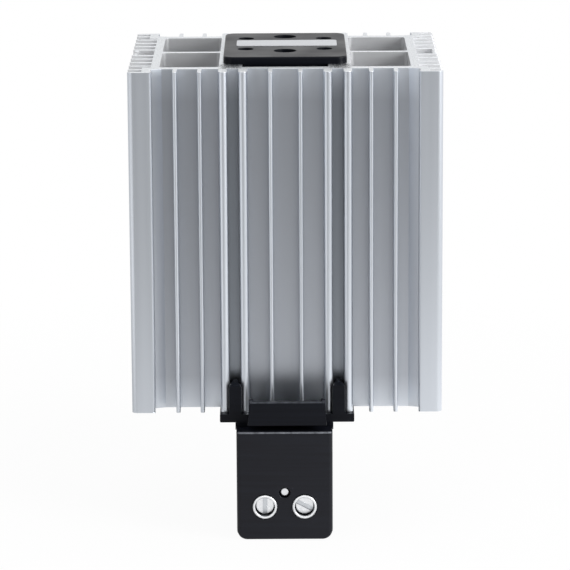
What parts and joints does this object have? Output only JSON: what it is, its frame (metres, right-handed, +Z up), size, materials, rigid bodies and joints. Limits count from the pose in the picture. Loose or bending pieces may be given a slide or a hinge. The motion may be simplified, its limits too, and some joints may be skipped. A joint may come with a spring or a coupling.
{
  "type": "enclosure heater",
  "caption": "Finned aluminium enclosure heater with a ceramic heating core, black moulded cap, hanging terminal box and a back clip for a top-hat mounting rail.",
  "frame": {"origin": "middle of the rail seat, on the back face of the clip plate", "axes": "+Z up along the profile, +X to the right seen from the front, front towards -Y"},
  "size_m": [0.09, 0.0901, 0.1381],
  "materials": {
    "extruded_aluminium": "satin, as extruded, sawn ends",
    "black_plastic": "fine moulded grain",
    "label_film": "plain silver film",
    "heating_ceramic": "fired, metallised faces",
    "white_ceramic": "fired",
    "electrode_sheet": "rolled",
    "amber_film": "smooth",
    "silicone": "matt",
    "grey_plastic": "moulded",
    "brass": "drawn bar",
    "zinc_plated_steel": "bright zinc"
  },
  "bodies": {
    "root": {"heat_sink": "extruded_aluminium", "clamping_strip": "extruded_aluminium", "top_cap": "black_plastic", "terminal_base": "black_plastic", "terminal_cover": "black_plastic", "label_strip": "label_film", "ptc_stone_1": "heating_ceramic", "ptc_stone_2": "heating_ceramic", "ptc_stone_3": "heating_ceramic", "ptc_stone_4": "heating_ceramic", "upper_spacer": "white_ceramic", "lower_spacer": "white_ceramic", "front_electrode": "electrode_sheet", "rear_electrode": "electrode_sheet", "insulating_sleeve": "amber_film", "live_lead": "silicone", "neutral_lead": "silicone", "terminal_block": "grey_plastic", "left_clamp": "brass", "right_clamp": "brass", "clamp_washers": "zinc_plated_steel", "terminal_screws": "zinc_plated_steel", "cover_pin": "zinc_plated_steel", "rail_clip": "zinc_plated_steel", "clip_screws": "zinc_plated_steel"}
  },
  "joints": []
}
